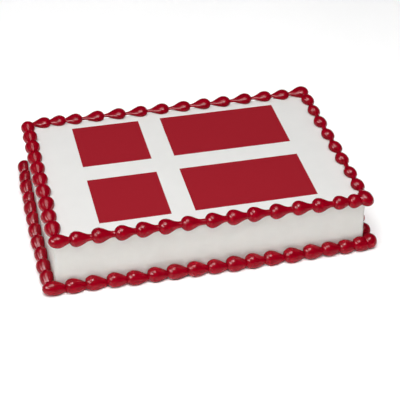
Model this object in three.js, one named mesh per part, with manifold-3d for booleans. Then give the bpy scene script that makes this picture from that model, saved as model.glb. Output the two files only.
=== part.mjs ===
// A rectangular iced cake with a red and white flag printed on its top and two piped bead borders.
// Millimetres, +Z up. The origin is the middle of the underside. +X runs to the right along the
// long side, and +Y runs to the back.

import * as THREE from 'three';
import { mergeVertices } from 'three/addons/utils/BufferGeometryUtils.js';
import Module from 'manifold-3d';

const wasm = await Module();
wasm.setup();

// The iced block, measured round its top edge.
const cakeLength = 310;
const cakeWidth = 203;
const cakeHeight = 55.5;
const cornerRadius = 3;
const topEdgeRadius = 2;

// The sides lean out towards the foot, most at the middle of a side and less at its corners.
const footFlare = 3.8;
const cornerFlareShare = 0.4;

// The printed sheet that lies on the top, inside the block's edge.
const sheetThickness = 0.5;
const sheetMargin = 2.5;

// The flag is 37 units long and 28 high, with a white cross 4 units wide between its red fields.
const flagUnit = 5.94;
const flagLength = 37;
const flagHeight = 28;
const flagColumns = { hoist: [0, 12], fly: [16, 37] };
const flagRows = { front: [0, 12], back: [16, 28] };
const flagCentre = { x: 2, y: 3.6 };
const inkThickness = 0.25;

// Bead forms. Lengths are in head radii: the round back of the head, the stretch over which the
// bead thins, and the radius of the neck that runs on to the next head. The lean is how steeply
// the tail is drawn down, in degrees. The height is that of the bead beside its width, and the
// roll is how far the bead droops over the cake's edge, in degrees.
const roundBead = { back: 0.92, taper: 1.87, neck: 0.41, lean: 1.5, height: 1, roll: 0 };
const droopingBead = { back: 1.15, taper: 1.65, neck: 0.4, lean: 1, height: 0.82, roll: 30 };
const lowBead = { back: 0.92, taper: 1.9, neck: 0.3, lean: 2, height: 0.65, roll: 0 };
const footBead = { back: 1.05, taper: 2.6, neck: 0.22, lean: 9, height: 1, roll: 0 };

// The borders are piped anticlockwise, one run of beads for each side, so that the first bead of a
// run covers the tail of the run before it. A run's first and last heads are measured along its
// side from the corner where it starts. The radius of its heads and their stand-off from the cake's
// edge are those at its start and at its end. Closing is the share by which the last step is
// squeezed, and sway is how far the necks swing out of the line of the heads. The first bead can
// differ from the others in its size, in the length of its back and by a shift along the run.
const evenRun = { closing: 0, sway: 0, firstSize: 1, firstBack: 1, firstShift: 0 };
const borders = [
  {
    name: 'top_border',
    headHeight: cakeHeight + sheetThickness + 2.7,
    followsFoot: false,
    runs: [
      {
        ...evenRun, side: 'front', bead: roundBead, radius: [7.95, 7.2], count: 15, first: -0.5, last: 296.6,
        standOff: [-0.3, -0.3], seed: 47344, closing: 0.25, firstSize: 0.88, firstBack: 1.5, firstShift: 4.6,
      },
      {
        ...evenRun, side: 'right', bead: droopingBead, radius: [7.1, 7.2], count: 9, first: 1.6, last: 185.5,
        standOff: [-1, -3], seed: 48784, sway: 1.2, firstSize: 1.18,
      },
      {
        ...evenRun, side: 'back', bead: lowBead, radius: [7.8, 7.9], count: 14, first: 5.4, last: 290,
        standOff: [-0.4, -0.4], seed: 59837, closing: 0.3, firstSize: 1.12, firstShift: -0.8,
      },
      {
        ...evenRun, side: 'left', bead: roundBead, radius: [7.5, 8.2], count: 10, first: 6.9, last: 182.1,
        standOff: [-1.4, -1.4], seed: 45876,
      },
    ],
  },
  {
    name: 'bottom_border',
    headHeight: 5.9,
    followsFoot: true,
    runs: [
      {
        ...evenRun, side: 'front', bead: footBead, radius: [7.6, 7.8], count: 17, first: -6.1, last: 306.3,
        standOff: [2.2, 2.2], seed: 46729, closing: 0.25, firstBack: 1.35, firstShift: 2,
      },
      {
        ...evenRun, side: 'right', bead: footBead, radius: [7.3, 7.3], count: 11, first: -1.6, last: 194.8,
        standOff: [6, 5], seed: 314, firstSize: 1.12,
      },
      {
        ...evenRun, side: 'back', bead: footBead, radius: [7.2, 7.2], count: 16, first: -4.5, last: 300,
        standOff: [2.2, 2.2], seed: 2718, closing: 0.2,
      },
      {
        ...evenRun, side: 'left', bead: footBead, radius: [7.8, 7.2], count: 11, first: 1.8, last: 189.5,
        standOff: [3.3, 5.8], seed: 5893, firstSize: 0.9,
      },
    ],
  },
];

// How far one bead differs from the next: shares of a step and of a radius, and millimetres.
const spacingSpread = 0.09;
const sizeSpread = 0.04;
const sideSpread = 0.5;
const liftSpread = 0.3;

// Where each side's run starts, and the way it goes, as a turn about +Z from +X.
const quarterTurn = Math.PI / 2;
const sides = {
  front: { start: [-cakeLength / 2, -cakeWidth / 2], turn: 0, length: cakeLength },
  right: { start: [cakeLength / 2, -cakeWidth / 2], turn: quarterTurn, length: cakeWidth },
  back: { start: [cakeLength / 2, cakeWidth / 2], turn: 2 * quarterTurn, length: cakeLength },
  left: { start: [-cakeLength / 2, cakeWidth / 2], turn: 3 * quarterTurn, length: cakeWidth },
};

// Facets, the passes that find where a tail meets the next head, the clearance between pieces that
// touch, and the size under which a sliver left by a cut is smoothed away.
const beadFacets = 8;
const headSteps = 2;
const tailSteps = 3;
const meetingPasses = 6;
const cornerSteps = 3;
const sideSteps = 6;
const heightSteps = 3;
const edgeSteps = 1;
const clearance = 0.3;
const finestDetail = 0.05;

const whiteIcing = new THREE.MeshStandardMaterial({ color: 0xe4e3df, roughness: 0.55, metalness: 0 });
const sheetWhite = new THREE.MeshStandardMaterial({ color: 0xe8e8e5, roughness: 0.7, metalness: 0 });
const printRed = new THREE.MeshStandardMaterial({ color: 0x9b1f29, roughness: 0.7, metalness: 0 });
const redIcing = new THREE.MeshStandardMaterial({ color: 0xa4001e, roughness: 0.3, metalness: 0 });

// Solids from geometry, and back

function solidFrom(geometry) {
  geometry.deleteAttribute('normal');
  geometry.deleteAttribute('uv');
  const merged = mergeVertices(geometry);
  const index = merged.index.array;
  const triangles = [];
  for (let i = 0; i < index.length; i += 3) {
    const [a, b, c] = index.slice(i, i + 3);
    if (a !== b && b !== c && c !== a) triangles.push(a, b, c);
  }
  const vertProperties = new Float32Array(merged.attributes.position.array);
  const triVerts = new Uint32Array(triangles);
  return new wasm.Manifold(new wasm.Mesh({ numProp: 3, vertProperties, triVerts }));
}

function geometryFrom(solid) {
  const { vertProperties, triVerts } = solid.getMesh();
  const geometry = new THREE.BufferGeometry();
  geometry.setAttribute('position', new THREE.BufferAttribute(vertProperties, 3));
  geometry.setIndex(new THREE.BufferAttribute(triVerts, 1));
  geometry.computeVertexNormals();
  return geometry;
}

// A cut can leave a scrap beside the piece; only the piece itself is kept.
function largestPart(solid) {
  return solid.decompose().reduce((best, part) => (part.volume() > best.volume() ? part : best));
}

function makeMesh(name, geometry, material) {
  const mesh = new THREE.Mesh(geometry, material);
  mesh.name = name;
  return mesh;
}

// The iced block

function roundedRectangle(length, width, radius) {
  const points = [];
  for (let corner = 0; corner < 4; corner += 1) {
    const centre = new THREE.Vector2(
      (corner % 3 === 0 ? 1 : -1) * (length / 2 - radius),
      (corner < 2 ? 1 : -1) * (width / 2 - radius),
    );
    for (let step = 0; step <= cornerSteps; step += 1) {
      const angle = (corner + step / cornerSteps) * quarterTurn;
      points.push(new THREE.Vector2(Math.cos(angle), Math.sin(angle)).multiplyScalar(radius).add(centre));
    }
  }
  return points;
}

// Extra points along the straight sides let them bow.
function withSidePoints(points) {
  return points.flatMap((point, i) => {
    const next = points[(i + 1) % points.length];
    const isSide = (i + 1) % (cornerSteps + 1) === 0;
    const count = isSide ? sideSteps : 1;
    return Array.from({ length: count }, (_, step) => point.clone().lerp(next, step / count));
  });
}

// How far the foot stands out at a share, 0 to 1, of the way along a side.
function flareAt(share) {
  const bow = Math.sin(Math.PI * THREE.MathUtils.clamp(share, 0, 1));
  return footFlare * (cornerFlareShare + (1 - cornerFlareShare) * bow);
}

function leanSidesOut(geometry) {
  const position = geometry.attributes.position;
  for (let i = 0; i < position.count; i += 1) {
    const shareX = position.getX(i) / cakeLength;
    const shareY = position.getY(i) / cakeWidth;
    const depth = (1 - position.getZ(i) / cakeHeight) ** 2;
    position.setX(i, position.getX(i) + 2 * shareX * depth * flareAt(shareY + 0.5));
    position.setY(i, position.getY(i) + 2 * shareY * depth * flareAt(shareX + 0.5));
  }
}

// Everything below the level that the cake stands on.
function belowFloor() {
  const size = 2 * cakeLength;
  return solidFrom(new THREE.BoxGeometry(size, size, size).translate(0, 0, -size / 2));
}

// The block, grown sideways and raised where the room that it needs is wanted.
function cakeBlock(grow = 0, raise = 0) {
  const outline = roundedRectangle(cakeLength + 2 * grow, cakeWidth + 2 * grow, cornerRadius + grow);
  const geometry = new THREE.ExtrudeGeometry(new THREE.Shape(withSidePoints(outline)), {
    depth: cakeHeight,
    steps: heightSteps,
    bevelThickness: topEdgeRadius,
    bevelSize: topEdgeRadius,
    bevelOffset: -topEdgeRadius,
    bevelSegments: edgeSteps,
  });
  geometry.translate(0, 0, raise - topEdgeRadius);
  leanSidesOut(geometry);
  return solidFrom(geometry).subtract(belowFloor());
}

// The printed sheet and its red fields

function icingSheet() {
  const length = cakeLength - 2 * sheetMargin;
  const width = cakeWidth - 2 * sheetMargin;
  const outline = new THREE.Shape(roundedRectangle(length, width, cornerRadius));
  const geometry = new THREE.ExtrudeGeometry(outline, { depth: sheetThickness, bevelEnabled: false });
  const mesh = makeMesh('icing_sheet', geometry, sheetWhite);
  mesh.position.z = cakeHeight;
  return mesh;
}

function redField(column, row) {
  const [left, right] = flagColumns[column];
  const [front, back] = flagRows[row];
  const geometry = new THREE.BoxGeometry((right - left) * flagUnit, (back - front) * flagUnit, inkThickness);
  const mesh = makeMesh(`red_field_${column}_${row}`, geometry, printRed);
  mesh.position.set(
    ((left + right - flagLength) / 2) * flagUnit,
    ((front + back - flagHeight) / 2) * flagUnit,
    inkThickness / 2,
  );
  return mesh;
}

function flagPrint() {
  const flag = new THREE.Group();
  for (const column of Object.keys(flagColumns)) {
    for (const row of Object.keys(flagRows)) flag.add(redField(column, row));
  }
  flag.position.set(flagCentre.x, flagCentre.y, cakeHeight + sheetThickness);
  return flag;
}

// The piped borders

// Repeatable draws from -1 to 1, from Park and Miller's generator.
function makeDraw(seed) {
  const modulus = 2147483647;
  let state = seed;
  const next = () => {
    state = (state * 16807) % modulus;
    return (2 * state) / modulus - 1;
  };
  next();
  next();
  return next;
}

// Distances of a run's heads from the corner where it starts.
function headPlaces(run, uneven) {
  const steps = uneven.slice(0, -1).map(({ spacing }, i) => {
    const stepsLeft = run.count - 2 - i;
    const squeeze = run.closing * Math.max(0, 1 - stepsLeft / 2);
    return (1 + spacingSpread * spacing) * (1 - squeeze);
  });
  const total = steps.reduce((sum, step) => sum + step, 0);
  const places = [run.first];
  for (const step of steps) places.push(places.at(-1) + (step * (run.last - run.first)) / total);
  places[0] += run.firstShift;
  return places;
}

// A run's beads in its own frame: +X along the run from its corner, and -Y out of the cake.
function layBeads(border, run) {
  const { length } = sides[run.side];
  const draw = makeDraw(run.seed);
  const drawBead = () => ({ spacing: draw(), size: draw(), side: draw(), lift: draw() });
  const uneven = Array.from({ length: run.count }, drawBead);
  const outAt = (place) => {
    const share = place / length;
    return THREE.MathUtils.lerp(...run.standOff, share) + (border.followsFoot ? flareAt(share) : 0);
  };
  const heads = headPlaces(run, uneven).map((place, i) => {
    const out = outAt(place) + sideSpread * uneven[i].side;
    return new THREE.Vector3(place, -out, border.headHeight + liftSpread * uneven[i].lift);
  });
  const runEnd = heads.at(-1).clone().setX(length + outAt(length));
  return heads.map((head, i) => {
    const size = (1 + sizeSpread * uneven[i].size) * (i === 0 ? run.firstSize : 1);
    const radius = THREE.MathUtils.lerp(...run.radius, head.x / length) * size;
    const back = run.bead.back * radius * (i === 0 ? run.firstBack : 1);
    return { head, ahead: heads[i + 1] ?? runEnd, radius, back };
  });
}

// The rings of a head, from the neck that runs into its back up to its widest place.
function headRings(run, { head, radius, back }, neck) {
  const meeting = Math.asin(neck / radius);
  return Array.from({ length: headSteps }, (_, step) => {
    const angle = THREE.MathUtils.lerp(meeting, quarterTurn, (step + 1) / headSteps);
    const behind = new THREE.Vector3(back, run.sway, 0).multiplyScalar(Math.cos(angle));
    return { middle: head.clone().sub(behind), radius: radius * Math.sin(angle) };
  });
}

// How thick the tail of a head of this radius is at a distance from it.
function tailRadius(form, radius, distance) {
  const share = Math.min(1, distance / (form.taper * radius));
  const thinned = (1 - Math.cos(Math.PI * share)) / 2;
  return radius * THREE.MathUtils.lerp(1, form.neck, thinned);
}

// How far a tail runs before it meets the back of the next head; the last one runs to the end.
function tailReach(form, { head, ahead, radius }, next) {
  const span = ahead.x - head.x;
  let reach = span;
  for (let pass = 0; next && pass < meetingPasses; pass += 1) {
    const neck = tailRadius(form, radius, reach);
    reach = span - next.back * Math.sqrt(1 - (neck / next.radius) ** 2);
  }
  return reach;
}

// The rings of a tail, which thins towards its neck and runs on as far as its reach.
function tailRings(run, { head, ahead, radius }, reach) {
  const taper = Math.min(run.bead.taper * radius, reach);
  const drop = Math.tan(THREE.MathUtils.degToRad(run.bead.lean));
  const ringAt = (distance) => {
    const middle = head.clone().lerp(ahead, distance / (ahead.x - head.x));
    middle.y -= run.sway * (distance / reach) ** 2;
    middle.z = head.z - drop * distance;
    return { middle, radius: tailRadius(run.bead, radius, distance) };
  };
  const rings = Array.from({ length: tailSteps }, (_, step) => ringAt((taper * (step + 1)) / tailSteps));
  if (reach > taper) rings.push(ringAt(reach));
  return rings;
}

// All the rings of a row of beads, closed to a point at both ends.
function rowRings(run, beads) {
  const { head, back } = beads[0];
  const start = head.clone().sub(new THREE.Vector3(back, run.sway, 0));
  const rings = [{ middle: start, radius: 0 }];
  beads.forEach((bead, i) => {
    rings.push(...headRings(run, bead, rings.at(-1).radius));
    rings.push(...tailRings(run, bead, tailReach(run.bead, bead, beads[i + 1])));
  });
  rings.push({ middle: rings.at(-1).middle, radius: 0 });
  return rings;
}

function runMatrix(run) {
  const { start, turn } = sides[run.side];
  return new THREE.Matrix4().makeRotationZ(turn).setPosition(...start, 0);
}

// A lathe along +X, as high as the run's beads and rolled as they are, whose rings are moved
// sideways and up or down to their own middles and then set along the run's side of the cake.
function ringSolid(run, rings) {
  const { height, roll } = run.bead;
  const profile = rings.map(({ middle, radius }) => new THREE.Vector2(radius, middle.x));
  const geometry = new THREE.LatheGeometry(profile, beadFacets).rotateZ(-quarterTurn);
  geometry.scale(1, 1, height).rotateX(THREE.MathUtils.degToRad(roll));
  const position = geometry.attributes.position;
  for (let i = 0; i < position.count; i += 1) {
    const { middle } = rings[i % rings.length];
    position.setY(i, position.getY(i) + middle.y);
    position.setZ(i, position.getZ(i) + middle.z);
  }
  return solidFrom(geometry.applyMatrix4(runMatrix(run)));
}

function runSolid(border, run) {
  return ringSolid(run, rowRings(run, layBeads(border, run)));
}

// The room that the start of a run needs: its first two beads, grown by the clearance.
function runStartRoom(border, run) {
  const beads = layBeads(border, run).slice(0, 2);
  const rings = rowRings(run, beads).map(({ middle, radius }) => ({
    middle,
    radius: radius > 0 ? radius + clearance / run.bead.height : 0,
  }));
  rings[0].middle.x -= clearance;
  return ringSolid(run, rings);
}

// A run gives way to the cake, to the floor and to the first beads of the run that follows it.
function borderRun(border, run, followingRun, cakeRoom) {
  const room = cakeRoom.add(runStartRoom(border, followingRun));
  const solid = largestPart(runSolid(border, run).subtract(room)).simplify(finestDetail);
  return makeMesh(`${border.name}_${run.side}`, geometryFrom(solid), redIcing);
}

function pipedBorders() {
  const group = new THREE.Group();
  const cakeRoom = cakeBlock(clearance, sheetThickness + clearance).add(belowFloor());
  for (const border of borders) {
    border.runs.forEach((run, i) => {
      const followingRun = border.runs[(i + 1) % border.runs.length];
      group.add(borderRun(border, run, followingRun, cakeRoom));
    });
  }
  return group;
}

const flagCake = new THREE.Group();
flagCake.add(makeMesh('cake_body', geometryFrom(cakeBlock()), whiteIcing));
flagCake.add(icingSheet());
flagCake.add(flagPrint());
flagCake.add(pipedBorders());

export default flagCake;
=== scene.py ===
"""Looks of the flag cake: an iced block, a printed sheet and two borders of piped beads.

Sizes are in millimetres in the cake's own frame, and meshes are made in metres.
"""

import itertools
import math
from dataclasses import dataclass

import bpy
import numpy as np
from mathutils import Matrix, Vector, noise


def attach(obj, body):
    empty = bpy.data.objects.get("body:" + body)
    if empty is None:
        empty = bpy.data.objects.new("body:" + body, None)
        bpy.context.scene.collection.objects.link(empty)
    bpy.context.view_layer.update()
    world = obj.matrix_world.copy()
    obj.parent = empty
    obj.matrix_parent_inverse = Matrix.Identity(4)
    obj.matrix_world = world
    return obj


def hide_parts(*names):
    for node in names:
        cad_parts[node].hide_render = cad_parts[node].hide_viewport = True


MM = 0.001

# The iced block, measured round its top edge, with sides that lean out towards the foot.
CAKE_LENGTH = 310
CAKE_WIDTH = 203
CAKE_HEIGHT = 55.5
CORNER_RADIUS = 3
TOP_EDGE_RADIUS = 2
FOOT_FLARE = 3.8
CORNER_FLARE_SHARE = 0.4

# The unevenness of its sides, in waves that are longer than they are high.
SIDE_UNEVENNESS = 0.35
SIDE_WAVELENGTH = 38
SIDE_WAVE_FLATNESS = 1.6

# The printed sheet on the top, and the flag of 37 by 28 units with a cross 4 units wide.
SHEET_THICKNESS = 0.5
SHEET_MARGIN = 2.5
SHEET_EDGE = 0.2
FLAG_UNIT = 5.94
FLAG_LENGTH = 37
FLAG_HEIGHT = 28
FLAG_COLUMNS = {"hoist": (0, 12), "fly": (16, 37)}
FLAG_ROWS = {"front": (0, 12), "back": (16, 28)}
FLAG_CENTRE = (2, 3.6)
INK_THICKNESS = 0.25
INK_EDGE = 0.1
INK_CORNER = 0.2


@dataclass
class BeadForm:
    """The form of a run's beads. The back, the taper and the neck are in radii of the head."""

    back: float  # the depth of the head's round back
    taper: float  # the stretch over which the bead thins
    neck: float  # the radius of the neck
    lean: float  # how steeply the tail is drawn down, in degrees
    height: float = 1  # beside the width
    roll: float = 0  # how far the bead droops over the edge, in degrees


ROUND_BEAD = BeadForm(back=0.92, taper=1.87, neck=0.41, lean=1.5)
DROOPING_BEAD = BeadForm(back=1.15, taper=1.65, neck=0.4, lean=1, height=0.82, roll=30)
LOW_BEAD = BeadForm(back=0.92, taper=1.9, neck=0.3, lean=2, height=0.65)
FOOT_BEAD = BeadForm(back=1.05, taper=2.6, neck=0.22, lean=9)


@dataclass
class Run:
    """One run of beads. Its heads are measured along the side from the corner where it starts."""

    side: str
    form: BeadForm
    radius: tuple  # of the heads, at the run's start and at its end
    count: int
    first: float  # place of the first head
    last: float  # place of the last head
    stand_off: tuple  # of the heads out of the cake's edge, at the start and at the end
    seed: int
    closing: float = 0  # the share by which the last step is squeezed, and the one before it by half
    sway: float = 0  # of the necks out of the line of the heads
    first_size: float = 1  # of the first bead, beside the others
    first_back: float = 1  # depth of the first head's back, beside the others
    first_shift: float = 0  # of the first head along the run


@dataclass
class Border:
    """A border of four runs, which are piped anticlockwise."""

    head_height: float
    follows_foot: bool  # whether it stands out with the flare of the foot
    runs: list


TOP_HEAD_RISE = 2.7  # of the top border's heads above the sheet
FOOT_HEAD_HEIGHT = 5.9
BORDERS = {
    "top_border": Border(
        head_height=CAKE_HEIGHT + SHEET_THICKNESS + TOP_HEAD_RISE,
        follows_foot=False,
        runs=[
            Run(
                "front", ROUND_BEAD, radius=(7.95, 7.2), count=15, first=-0.5, last=296.6,
                stand_off=(-0.3, -0.3), seed=47344, closing=0.25,
                first_size=0.88, first_back=1.5, first_shift=4.6,
            ),
            Run(
                "right", DROOPING_BEAD, radius=(7.1, 7.2), count=9, first=1.6, last=185.5,
                stand_off=(-1, -3), seed=48784, sway=1.2, first_size=1.18,
            ),
            Run(
                "back", LOW_BEAD, radius=(7.8, 7.9), count=14, first=5.4, last=290,
                stand_off=(-0.4, -0.4), seed=59837, closing=0.3, first_size=1.12, first_shift=-0.8,
            ),
            Run(
                "left", ROUND_BEAD, radius=(7.5, 8.2), count=10, first=6.9, last=182.1,
                stand_off=(-1.4, -1.4), seed=45876,
            ),
        ],
    ),
    "bottom_border": Border(
        head_height=FOOT_HEAD_HEIGHT,
        follows_foot=True,
        runs=[
            Run(
                "front", FOOT_BEAD, radius=(7.6, 7.8), count=17, first=-6.1, last=306.3,
                stand_off=(2.2, 2.2), seed=46729, closing=0.25, first_back=1.35, first_shift=2,
            ),
            Run(
                "right", FOOT_BEAD, radius=(7.3, 7.3), count=11, first=-1.6, last=194.8,
                stand_off=(6, 5), seed=314, first_size=1.12,
            ),
            Run(
                "back", FOOT_BEAD, radius=(7.2, 7.2), count=16, first=-4.5, last=300,
                stand_off=(2.2, 2.2), seed=2718, closing=0.2,
            ),
            Run(
                "left", FOOT_BEAD, radius=(7.8, 7.2), count=11, first=1.8, last=189.5,
                stand_off=(3.3, 5.8), seed=5893, first_size=0.9,
            ),
        ],
    ),
}

# How far single beads depart from their run, and how uneven they are.
SPACING_SPREAD = 0.09  # of the step between two heads
SIZE_SPREAD = 0.04  # of the radius
SIDE_SPREAD = 0.5
LIFT_SPREAD = 0.3
LUMP_SHARE = 0.02  # of the radius
LUMP_STARTS = 1000  # places in the noise where a run's lumps may start

# The ends of a run, beside its first head's radius, and the gap that it keeps to the cake.
TIP_SHARE = 0.02
CONTACT_GAP = 0.05


@dataclass
class Side:
    """A side of the cake: the corner where its runs start, its turn about +Z, and its length."""

    start: tuple
    turn: float
    length: float


SIDES = {
    "front": Side((-CAKE_LENGTH / 2, -CAKE_WIDTH / 2), 0, CAKE_LENGTH),
    "right": Side((CAKE_LENGTH / 2, -CAKE_WIDTH / 2), 90, CAKE_WIDTH),
    "back": Side((CAKE_LENGTH / 2, CAKE_WIDTH / 2), 180, CAKE_LENGTH),
    "left": Side((-CAKE_LENGTH / 2, CAKE_WIDTH / 2), 270, CAKE_WIDTH),
}

# Fineness of the meshes, and the least radius that a corner keeps on an inner ring.
BEAD_FACETS = 36
HEAD_STEPS = 10
TAIL_STEPS = 14
MEETING_PASSES = 12
CORNER_STEPS = 8
SIDE_STEP = 4
SIDE_RINGS = 15
EDGE_STEPS = 5
LEAST_CORNER = 0.05

# The span of a noise texture's values that is spread over a range of colour or roughness.
NOISE_LOW = 0.3
NOISE_HIGH = 0.7

# The floor's half width in metres, and the gap that keeps it clear of the cake's underside.
FLOOR_REACH = 6
FLOOR_GAP = 0.05

# The view: the camera's place and aim, and its focal length for a 400 pixel picture.
CAMERA_PLACE = (-253.05, -1040.69, 816.05)
CAMERA_AZIMUTH = -14.265
CAMERA_ELEVATION = 37.022
CAMERA_ROLL = 1.07
FOCAL_PIXELS = 1282.21
PICTURE_PIXELS = 400
SENSOR_WIDTH = 36


@dataclass
class Softbox:
    """A rectangular light that faces the cake. Its sizes are in metres, and its power is in watts."""

    direction: tuple  # as seen from the cake
    distance: float
    width: float
    height: float
    power: float


# The first set of lights reaches the matt colours, and the second only shows in the gloss.
MATT_SOFTBOXES = {
    "overhead_softbox": Softbox((-0.25, -0.3, 0.92), distance=1.2, width=0.9, height=0.9, power=8.4),
    "front_overhead_softbox": Softbox((0.1, -0.35, 0.93), distance=1.6, width=1.2, height=1.2, power=8.4),
    "back_softbox": Softbox((-0.6, 0.6, 0.55), distance=1.8, width=0.9, height=0.9, power=1.7),
}
GLOSS_SOFTBOXES = {
    "overhead_gloss": Softbox((-0.045, -0.06, 1), distance=2.2, width=1.5, height=1.2, power=56),
    "left_gloss": Softbox((-0.74, -0.3, 0.52), distance=1.8, width=1.2, height=0.5, power=59),
    "upper_left_gloss": Softbox((-0.4, -0.25, 0.88), distance=2, width=0.6, height=0.6, power=28),
    "upper_front_gloss": Softbox((0, -0.3, 0.95), distance=2, width=0.6, height=0.6, power=35),
}
FLOOR_SOFTBOX = Softbox((0.1, 0.3, 1), distance=4, width=8, height=8, power=110)
WORLD_STRENGTH = 0.1


def lerp(start, end, share):
    return start + (end - start) * share


# Meshes from rings of points


def ring_faces(ring_count, ring_size):
    """Quads between neighbouring rings, and a cap on the first and last ring."""
    faces = [tuple(reversed(range(ring_size)))]
    for ring in range(ring_count - 1):
        low = ring * ring_size
        for i in range(ring_size):
            j = (i + 1) % ring_size
            faces.append((low + i, low + j, low + ring_size + j, low + ring_size + i))
    last = (ring_count - 1) * ring_size
    faces.append(tuple(range(last, last + ring_size)))
    return faces


def crease_rings(mesh, ring_size, creases):
    """Keeps the shading sharp along some rings of a smooth piece."""
    for edge in mesh.edges:
        ring, other_ring = (vertex // ring_size for vertex in edge.vertices)
        edge.use_edge_sharp = ring == other_ring and ring in creases


def add_piece(name, rings, material, node, creases=()):
    """A smooth closed piece through the rings, which stands for the node."""
    points = np.concatenate(rings) * MM
    ring_size = len(rings[0])
    mesh = bpy.data.meshes.new(name)
    mesh.from_pydata(points.tolist(), [], ring_faces(len(rings), ring_size))
    mesh.polygons.foreach_set("use_smooth", [True] * len(mesh.polygons))
    crease_rings(mesh, ring_size, creases)
    mesh.materials.append(material)
    piece = bpy.data.objects.new(name, mesh)
    bpy.context.scene.collection.objects.link(piece)
    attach(piece, "root")
    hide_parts(node)


# The iced block, the sheet and the print


def rounded_outline(length, width, radius):
    """Points anticlockwise round a rectangle with round corners, from the middle of +X."""
    points = []
    for corner in range(4):
        centre_x = (1 if corner in (0, 3) else -1) * (length / 2 - radius)
        centre_y = (1 if corner < 2 else -1) * (width / 2 - radius)
        for step in range(CORNER_STEPS + 1):
            angle = (corner + step / CORNER_STEPS) * math.pi / 2
            points.append((centre_x + radius * math.cos(angle), centre_y + radius * math.sin(angle)))
    return np.array(points)


def with_side_points(outline, counts):
    """The outline with each straight side cut into its count of steps."""
    points = []
    for i, point in enumerate(outline):
        following = outline[(i + 1) % len(outline)]
        corner, step = divmod(i, CORNER_STEPS + 1)
        count = counts[corner % 2] if step == CORNER_STEPS else 1
        points.extend(lerp(point, following, cut / count) for cut in range(count))
    return np.array(points)


def plate_ring(length, width, radius, inset, height):
    """A level ring inside a rectangle with round corners, with as many points as the cake's own."""
    counts = (math.ceil(CAKE_LENGTH / SIDE_STEP), math.ceil(CAKE_WIDTH / SIDE_STEP))
    outline = rounded_outline(length - 2 * inset, width - 2 * inset, max(radius - inset, LEAST_CORNER))
    flat = with_side_points(outline, counts)
    return np.column_stack([flat, np.full(len(flat), float(height))])


def edge_profile(top, radius):
    """Inset and height of the rings over a rounded top edge and as far again onto the flat top."""
    angles = np.linspace(0, math.pi / 2, EDGE_STEPS + 1)
    rounded = [(radius * (1 - math.cos(a)), top - radius * (1 - math.sin(a))) for a in angles]
    return [*rounded, (2 * radius, top)]


def flare_at(share):
    """How far the foot stands out at a share of the way along a side, less at the corners."""
    bow = np.sin(math.pi * np.clip(share, 0, 1))
    return FOOT_FLARE * (CORNER_FLARE_SHARE + (1 - CORNER_FLARE_SHARE) * bow)


def lean_out(ring):
    """Leans a ring of the block out towards the foot, as its height asks."""
    share = ring[:, :2] / (CAKE_LENGTH, CAKE_WIDTH)
    depth = (1 - ring[:, 2:] / CAKE_HEIGHT) ** 2
    bowed = flare_at(share[:, ::-1] + 0.5)
    return np.column_stack([ring[:, :2] + 2 * share * depth * bowed, ring[:, 2]])


def spread_unevenly(ring):
    """Moves a ring of the block slightly in and out, as a spatula leaves it."""
    moved = ring.copy()
    for i, (x, y, z) in enumerate(ring):
        place = Vector((x, y, SIDE_WAVE_FLATNESS * z)) / SIDE_WAVELENGTH
        outward = Vector((x / CAKE_LENGTH, y / CAKE_WIDTH)).normalized()
        moved[i, :2] += SIDE_UNEVENNESS * noise.noise(place) * np.array(outward)
    return moved


def iced_block(material):
    side_heights = np.linspace(0, CAKE_HEIGHT - TOP_EDGE_RADIUS, SIDE_RINGS, endpoint=False)
    profile = [(0, z) for z in side_heights] + edge_profile(CAKE_HEIGHT, TOP_EDGE_RADIUS)
    rings = []
    for inset, height in profile:
        ring = plate_ring(CAKE_LENGTH, CAKE_WIDTH, CORNER_RADIUS, inset, height)
        rings.append(spread_unevenly(lean_out(ring)))
    add_piece("iced_block", rings, material, "cake_body")


def thin_plate(centre, size, corner, low, thickness, edge):
    """Rings of a thin plate with a softly rounded top edge."""
    profile = [(0, low)] + edge_profile(low + thickness, edge)
    rings = [plate_ring(*size, corner, inset, height) for inset, height in profile]
    return [ring + (*centre, 0) for ring in rings]


def printed_sheet(material):
    size = (CAKE_LENGTH - 2 * SHEET_MARGIN, CAKE_WIDTH - 2 * SHEET_MARGIN)
    rings = thin_plate((0, 0), size, CORNER_RADIUS, CAKE_HEIGHT, SHEET_THICKNESS, SHEET_EDGE)
    add_piece("printed_sheet", rings, material, "icing_sheet")


def red_fields(material):
    """The four fields round the cross of the flag."""
    low = CAKE_HEIGHT + SHEET_THICKNESS
    for column, (left, right) in FLAG_COLUMNS.items():
        for row, (front, back) in FLAG_ROWS.items():
            x = FLAG_CENTRE[0] + FLAG_UNIT * (left + right - FLAG_LENGTH) / 2
            y = FLAG_CENTRE[1] + FLAG_UNIT * (front + back - FLAG_HEIGHT) / 2
            size = (FLAG_UNIT * (right - left), FLAG_UNIT * (back - front))
            rings = thin_plate((x, y), size, INK_CORNER, low, INK_THICKNESS, INK_EDGE)
            node = f"red_field_{column}_{row}"
            add_piece(f"print_{column}_{row}", rings, material, node)


# The piped borders


@dataclass
class Bead:
    """One bead in its run's frame: +X along the run, and -Y out of the cake."""

    head: np.ndarray
    ahead: np.ndarray  # the next head, or the end of the run
    radius: float
    back: float


def draws(seed):
    """Repeatable values from -1 to 1, from Park and Miller's generator after its first two."""
    modulus = 2147483647
    multiplier = 16807
    left_out = 2
    state = seed
    for turn in itertools.count():
        state = state * multiplier % modulus
        if turn >= left_out:
            yield 2 * state / modulus - 1


def head_places(run, spacings):
    """Distances of a run's heads from the corner where it starts."""
    steps = []
    for i, spacing in enumerate(spacings[:-1]):
        squeeze = run.closing * max(0, 1 - (run.count - 2 - i) / 2)
        steps.append((1 + SPACING_SPREAD * spacing) * (1 - squeeze))
    shares = np.cumsum([0, *steps]) / sum(steps)
    return run.first + shares * (run.last - run.first)


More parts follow.
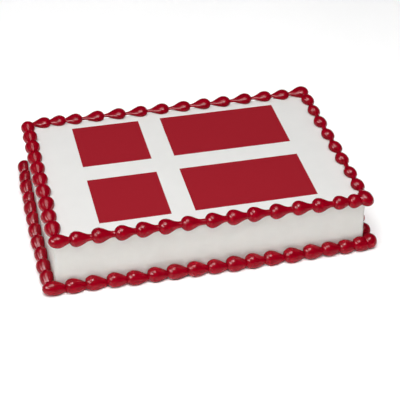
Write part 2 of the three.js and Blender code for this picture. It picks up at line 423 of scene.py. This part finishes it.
def lay_beads(run, border):
    """The beads of a run, each a little off its even place and size."""
    length = SIDES[run.side].length
    values = np.array(list(itertools.islice(draws(run.seed), 4 * run.count)))
    spacings, sizes, sideways, lifts = values.reshape(run.count, 4).T
    places = head_places(run, spacings)
    places[0] += run.first_shift

    def out_at(place):
        flare = flare_at(place / length) if border.follows_foot else 0
        return lerp(*run.stand_off, place / length) + flare

    out = out_at(places) + SIDE_SPREAD * sideways
    heads = np.column_stack([places, -out, border.head_height + LIFT_SPREAD * lifts])
    run_end = np.array([length + out_at(length), *heads[-1, 1:]])
    radii = lerp(*run.radius, places / length) * (1 + SIZE_SPREAD * sizes)
    radii[0] *= run.first_size
    backs = run.form.back * radii
    backs[0] *= run.first_back
    return [Bead(*parts) for parts in zip(heads, [*heads[1:], run_end], radii, backs)]


def tail_radius(form, radius, distance):
    share = min(1, distance / (form.taper * radius))
    return radius * lerp(1, form.neck, (1 - math.cos(math.pi * share)) / 2)


def tail_reach(form, bead, following):
    """How far a tail runs before it meets the next head's back; the last one runs to the end."""
    span = bead.ahead[0] - bead.head[0]
    reach = span
    if following:
        for _ in range(MEETING_PASSES):
            neck = tail_radius(form, bead.radius, reach)
            reach = span - following.back * math.sqrt(1 - (neck / following.radius) ** 2)
    return reach


def head_rings(run, bead, neck):
    """Middles and radii from the neck that runs into a head's back up to its widest place."""
    meeting = math.asin(neck / bead.radius)
    for step in range(1, HEAD_STEPS + 1):
        angle = lerp(meeting, math.pi / 2, step / HEAD_STEPS)
        behind = (bead.back * math.cos(angle), run.sway * math.cos(angle), 0)
        yield bead.head - behind, bead.radius * math.sin(angle)


def tail_rings(run, bead, reach):
    """Middles and radii from a head's widest place along its tail."""
    drop = math.tan(math.radians(run.form.lean))
    for step in range(1, TAIL_STEPS + 1):
        distance = reach * step / TAIL_STEPS
        middle = lerp(bead.head, bead.ahead, distance / (bead.ahead[0] - bead.head[0]))
        middle[1] -= run.sway * (step / TAIL_STEPS) ** 2
        middle[2] = bead.head[2] - drop * distance
        yield middle, tail_radius(run.form, bead.radius, distance)


def row_rings(run, beads):
    """All the middles and radii of a row of beads, closed almost to a point at both ends."""
    first = beads[0]
    tip = TIP_SHARE * first.radius
    rings = [(first.head - (first.back, run.sway, 0), tip)]
    for bead, following in itertools.zip_longest(beads, beads[1:]):
        _, neck = rings[-1]
        rings.extend(head_rings(run, bead, neck))
        rings.extend(tail_rings(run, bead, tail_reach(run.form, bead, following)))
    last_middle, _ = rings[-1]
    rings.append((last_middle + (tip, 0, 0), tip))
    return rings


def lumpy_ring(run, middle, radius):
    """A ring of points square to the run, as high and rolled as its beads, and a little uneven."""
    roll = math.radians(run.form.roll)
    across = np.array([0, math.cos(roll), math.sin(roll)])
    upward = np.array([0, -math.sin(roll), math.cos(roll)]) * run.form.height
    lump_start = Vector((run.seed % LUMP_STARTS, 0, 0))
    points = []
    for step in range(BEAD_FACETS):
        angle = 2 * math.pi * step / BEAD_FACETS
        direction = math.cos(angle) * across + math.sin(angle) * upward
        place = Vector(middle + radius * direction) / radius + lump_start
        points.append(middle + radius * (1 + LUMP_SHARE * noise.noise(place)) * direction)
    return np.array(points)


def onto_cake(ring, side):
    """Turns a ring from its run's frame to the cake's frame."""
    start_x, start_y = side.start
    cosine, sine = math.cos(math.radians(side.turn)), math.sin(math.radians(side.turn))
    x = start_x + cosine * ring[:, 0] - sine * ring[:, 1]
    y = start_y + sine * ring[:, 0] + cosine * ring[:, 1]
    return np.column_stack([x, y, ring[:, 2]])


def press_on(ring):
    """Presses a ring flat where it meets the floor, the cake's top or its sides."""
    pressed = ring.copy()
    pressed[:, 2] = np.maximum(pressed[:, 2], 0)
    top = CAKE_HEIGHT + SHEET_THICKNESS + CONTACT_GAP
    depth = np.clip(1 - pressed[:, 2] / CAKE_HEIGHT, 0, 1) ** 2
    size = np.array([CAKE_LENGTH, CAKE_WIDTH])
    flare = flare_at(pressed[:, 1::-1] / size[::-1] + 0.5)
    wall = size / 2 + depth[:, None] * flare + CONTACT_GAP
    inside = wall - np.abs(pressed[:, :2])
    for i, (room_x, room_y) in enumerate(inside):
        below = top - pressed[i, 2]
        nearest = min(room_x, room_y, below)
        if nearest <= 0:
            continue
        if nearest == below:
            pressed[i, 2] = top
        else:
            axis = 0 if nearest == room_x else 1
            pressed[i, axis] = math.copysign(wall[i, axis], pressed[i, axis])
    return pressed


def piped_borders(material):
    """The runs of both borders, with a crease where each tail runs under the next head."""
    bead_steps = HEAD_STEPS + TAIL_STEPS
    for name, border in BORDERS.items():
        for run in border.runs:
            rings = []
            for middle, radius in row_rings(run, lay_beads(run, border)):
                ring = onto_cake(lumpy_ring(run, middle, radius), SIDES[run.side])
                rings.append(press_on(ring))
            node = f"{name}_{run.side}"
            creases = range(bead_steps, bead_steps * run.count, bead_steps)
            add_piece(f"piped_{node}", rings, material, node, creases)


# Materials


def noise_value(tree, scale, stretch=(1, 1, 1), detail=3):
    """A noise texture's value, with a scale in waves a metre that may differ along the axes."""
    coordinates = tree.nodes.new("ShaderNodeTexCoord")
    mapping = tree.nodes.new("ShaderNodeMapping")
    texture = tree.nodes.new("ShaderNodeTexNoise")
    mapping.inputs["Scale"].default_value = stretch
    texture.inputs["Scale"].default_value = scale
    texture.inputs["Detail"].default_value = detail
    tree.links.new(coordinates.outputs["Object"], mapping.inputs["Vector"])
    tree.links.new(mapping.outputs["Vector"], texture.inputs["Vector"])
    return texture.outputs["Fac"]


def vary_colour(tree, shader, value, dark, light):
    ramp = tree.nodes.new("ShaderNodeValToRGB")
    ends = [(NOISE_LOW, dark), (NOISE_HIGH, light)]
    for element, (position, colour) in zip(ramp.color_ramp.elements, ends):
        element.position = position
        element.color = (*colour, 1)
    tree.links.new(value, ramp.inputs["Fac"])
    tree.links.new(ramp.outputs["Color"], shader.inputs["Base Color"])


def vary_roughness(tree, shader, value, smooth, rough):
    spread = tree.nodes.new("ShaderNodeMapRange")
    spread.inputs["From Min"].default_value = NOISE_LOW
    spread.inputs["From Max"].default_value = NOISE_HIGH
    spread.inputs["To Min"].default_value = smooth
    spread.inputs["To Max"].default_value = rough
    tree.links.new(value, spread.inputs["Value"])
    tree.links.new(spread.outputs["Result"], shader.inputs["Roughness"])


def add_relief(tree, shader, reliefs):
    """Bumps one on another, each a noise value and its height in millimetres."""
    normal = None
    for value, height in reliefs:
        bump = tree.nodes.new("ShaderNodeBump")
        bump.inputs["Distance"].default_value = height * MM
        tree.links.new(value, bump.inputs["Height"])
        if normal:
            tree.links.new(normal, bump.inputs["Normal"])
        normal = bump.outputs["Normal"]
    tree.links.new(normal, shader.inputs["Normal"])


def new_material(name):
    material = bpy.data.materials.new(name)
    material.use_nodes = True
    return material, material.node_tree, material.node_tree.nodes["Principled BSDF"]


def white_icing():
    """Spread white icing: softly matte, with faint level spatula marks and fine grain."""
    material, tree, shader = new_material("white_icing")
    tint = noise_value(tree, scale=60)
    vary_colour(tree, shader, tint, dark=(0.776, 0.765, 0.725), light=(0.806, 0.795, 0.755))
    vary_roughness(tree, shader, noise_value(tree, scale=150), smooth=0.45, rough=0.6)
    strokes = noise_value(tree, scale=40, stretch=(1, 1, 6))
    grain = noise_value(tree, scale=900)
    add_relief(tree, shader, [(strokes, 0.25), (grain, 0.03)])
    shader.inputs["Specular IOR Level"].default_value = 0.05
    shader.inputs["Subsurface Weight"].default_value = 0.1
    shader.inputs["Subsurface Radius"].default_value = (1, 0.9, 0.8)
    shader.inputs["Subsurface Scale"].default_value = 2 * MM
    return material


def sheet_white():
    """The edible sheet: matte, with a close grain."""
    material, tree, shader = new_material("sheet_white")
    tint = noise_value(tree, scale=45)
    vary_colour(tree, shader, tint, dark=(0.86, 0.855, 0.835), light=(0.88, 0.875, 0.855))
    vary_roughness(tree, shader, noise_value(tree, scale=300), smooth=0.8, rough=0.95)
    waves = noise_value(tree, scale=25)
    grain = noise_value(tree, scale=1500)
    add_relief(tree, shader, [(waves, 0.15), (grain, 0.02)])
    shader.inputs["Specular IOR Level"].default_value = 0.065
    return material


def print_red():
    """Dark red print that has soaked into the sheet: matte and finely mottled."""
    material, tree, shader = new_material("print_red")
    mottle = noise_value(tree, scale=1200)
    vary_colour(tree, shader, mottle, dark=(0.356, 0.015, 0.0253), light=(0.377, 0.016, 0.0273))
    vary_roughness(tree, shader, noise_value(tree, scale=300), smooth=0.8, rough=0.95)
    waves = noise_value(tree, scale=25)
    grain = noise_value(tree, scale=1500)
    add_relief(tree, shader, [(waves, 0.1), (grain, 0.01)])
    shader.inputs["Specular IOR Level"].default_value = 0.0065
    return material


def red_icing():
    """Piped red icing: glossy and deep, with slight streaks of dye and tiny pits."""
    material, tree, shader = new_material("red_icing")
    streaks = noise_value(tree, scale=180)
    vary_colour(tree, shader, streaks, dark=(0.285, 0.0, 0.008), light=(0.347, 0.0, 0.011))
    vary_roughness(tree, shader, noise_value(tree, scale=250), smooth=0.15, rough=0.23)
    waves = noise_value(tree, scale=160)
    pits = noise_value(tree, scale=1400)
    add_relief(tree, shader, [(waves, 0.001), (pits, 0.0003)])
    shader.inputs["Specular IOR Level"].default_value = 0.135
    return material


def pale_floor():
    """The plain floor: almost white, with a broad soft sheen."""
    material, tree, shader = new_material("pale_floor")
    tint = noise_value(tree, scale=3)
    vary_colour(tree, shader, tint, dark=(0.95, 0.95, 0.95), light=(0.97, 0.97, 0.97))
    vary_roughness(tree, shader, noise_value(tree, scale=8), smooth=0.7, rough=0.8)
    shader.inputs["Specular IOR Level"].default_value = 1
    return material


# The stage


def add_floor():
    mesh = bpy.data.meshes.new("floor")
    corners = [(FLOOR_REACH * x, FLOOR_REACH * y, 0) for x, y in ((-1, -1), (1, -1), (1, 1), (-1, 1))]
    mesh.from_pydata(corners, [], [(0, 1, 2, 3)])
    mesh.materials.append(pale_floor())
    floor = bpy.data.objects.new("floor", mesh)
    floor.location.z = -FLOOR_GAP * MM
    bpy.context.scene.collection.objects.link(floor)
    return floor


def add_light(name, softbox, in_gloss):
    """The area light of a softbox, which shows either in the gloss or in the matt colours."""
    data = bpy.data.lights.new(name, "AREA")
    data.shape = "RECTANGLE"
    data.size = softbox.width
    data.size_y = softbox.height
    data.energy = softbox.power
    light = bpy.data.objects.new(name, data)
    outward = Vector(softbox.direction).normalized()
    light.location = outward * softbox.distance
    light.rotation_euler = outward.to_track_quat("Z", "Y").to_euler()
    light.visible_glossy = in_gloss
    light.visible_diffuse = not in_gloss
    bpy.context.scene.collection.objects.link(light)
    return light


def add_lights(floor):
    """The studio's soft lights, and one more that whitens the floor alone."""
    for name, softbox in MATT_SOFTBOXES.items():
        add_light(name, softbox, in_gloss=False)
    for name, softbox in GLOSS_SOFTBOXES.items():
        add_light(name, softbox, in_gloss=True)
    floor_light = add_light("floor_softbox", FLOOR_SOFTBOX, in_gloss=False)
    floor_alone = bpy.data.collections.new("floor_alone")
    floor_alone.objects.link(floor)
    floor_light.light_linking.receiver_collection = floor_alone


def add_world():
    """A faint even light from all round, which doesn't show in the gloss."""
    world = bpy.data.worlds.new("studio")
    world.use_nodes = True
    background = world.node_tree.nodes["Background"]
    background.inputs["Color"].default_value = (1, 1, 1, 1)
    background.inputs["Strength"].default_value = WORLD_STRENGTH
    world.cycles_visibility.glossy = False
    bpy.context.scene.world = world


def add_camera():
    azimuth, elevation = math.radians(CAMERA_AZIMUTH), math.radians(CAMERA_ELEVATION)
    level = math.cos(elevation)
    back = Vector((math.sin(azimuth) * level, -math.cos(azimuth) * level, math.sin(elevation)))
    right = Vector((0, 0, 1)).cross(back).normalized()
    aim = Matrix((right, back.cross(right), back)).transposed()
    data = bpy.data.cameras.new("camera")
    data.sensor_width = SENSOR_WIDTH
    data.lens = FOCAL_PIXELS / PICTURE_PIXELS * SENSOR_WIDTH
    camera = bpy.data.objects.new("camera", data)
    camera.matrix_world = (
        Matrix.Translation(Vector(CAMERA_PLACE) * MM)
        @ aim.to_4x4()
        @ Matrix.Rotation(math.radians(CAMERA_ROLL), 4, "Z")
    )
    bpy.context.scene.collection.objects.link(camera)
    bpy.context.scene.camera = camera


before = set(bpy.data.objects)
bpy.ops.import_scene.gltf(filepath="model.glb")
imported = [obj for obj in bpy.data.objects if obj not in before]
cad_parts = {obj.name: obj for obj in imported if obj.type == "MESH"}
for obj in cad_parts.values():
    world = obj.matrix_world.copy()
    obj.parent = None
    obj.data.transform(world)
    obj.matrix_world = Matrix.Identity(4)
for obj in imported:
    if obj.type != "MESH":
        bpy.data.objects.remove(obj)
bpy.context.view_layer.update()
iced_block(white_icing())
printed_sheet(sheet_white())
red_fields(print_red())
piped_borders(red_icing())
add_lights(add_floor())
add_world()
add_camera()
bpy.context.scene.view_settings.view_transform = "Standard"
